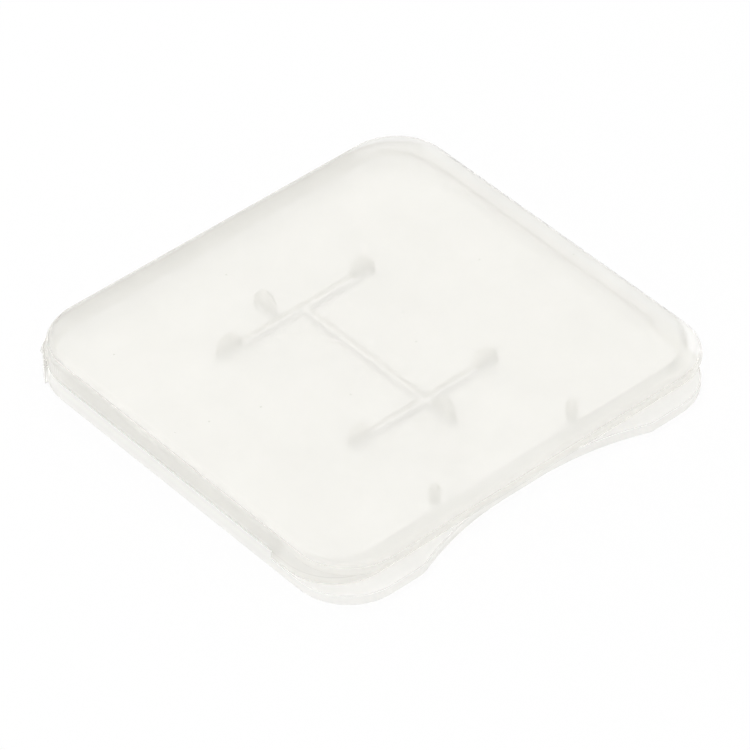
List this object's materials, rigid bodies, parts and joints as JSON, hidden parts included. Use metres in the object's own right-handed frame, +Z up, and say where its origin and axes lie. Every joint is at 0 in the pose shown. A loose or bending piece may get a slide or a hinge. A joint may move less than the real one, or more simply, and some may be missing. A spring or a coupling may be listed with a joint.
{
  "type": "memory card case",
  "caption": "Thin square clamshell case of milky plastic with rounded corners, a bending web hinge, a finger scoop in its front edge and a ribbed nest with round-topped teeth for a small memory card.",
  "frame": {"origin": "middle of the outer box's underside, on the surface that the shut case lies on", "axes": "+Z up through the lid, +X along the hinge to the right, +Y from the front edge to the hinge"},
  "size_m": [0.0382, 0.037, 0.0037],
  "materials": {
    "milky_plastic": "translucent natural polypropylene, satin"
  },
  "bodies": {
    "base": {"base_plate": "milky_plastic", "base_wall_left": "milky_plastic", "base_wall_right": "milky_plastic", "base_wall_back": "milky_plastic", "rib_back": "milky_plastic", "rib_front": "milky_plastic", "rib_cross": "milky_plastic", "tooth_back_left": "milky_plastic", "tooth_back_right": "milky_plastic", "tooth_front_left": "milky_plastic", "tooth_front_right": "milky_plastic", "tooth_end_front": "milky_plastic", "tooth_end_back": "milky_plastic", "latch_post_left": "milky_plastic", "latch_post_right": "milky_plastic", "hinge_web": "milky_plastic"},
    "lid": {"lid_plate": "milky_plastic", "lid_wall_left": "milky_plastic", "lid_wall_right": "milky_plastic", "lid_wall_front": "milky_plastic", "lid_wall_back": "milky_plastic"}
  },
  "joints": [
    {"name": "lid_hinge", "type": "hinge", "parent": "base", "child": "lid", "pos_m": [0, 0.0185, 0.00185], "axis": [-1, 0, 0], "range_deg": [0, 180], "deforming": ["hinge_web"]}
  ]
}
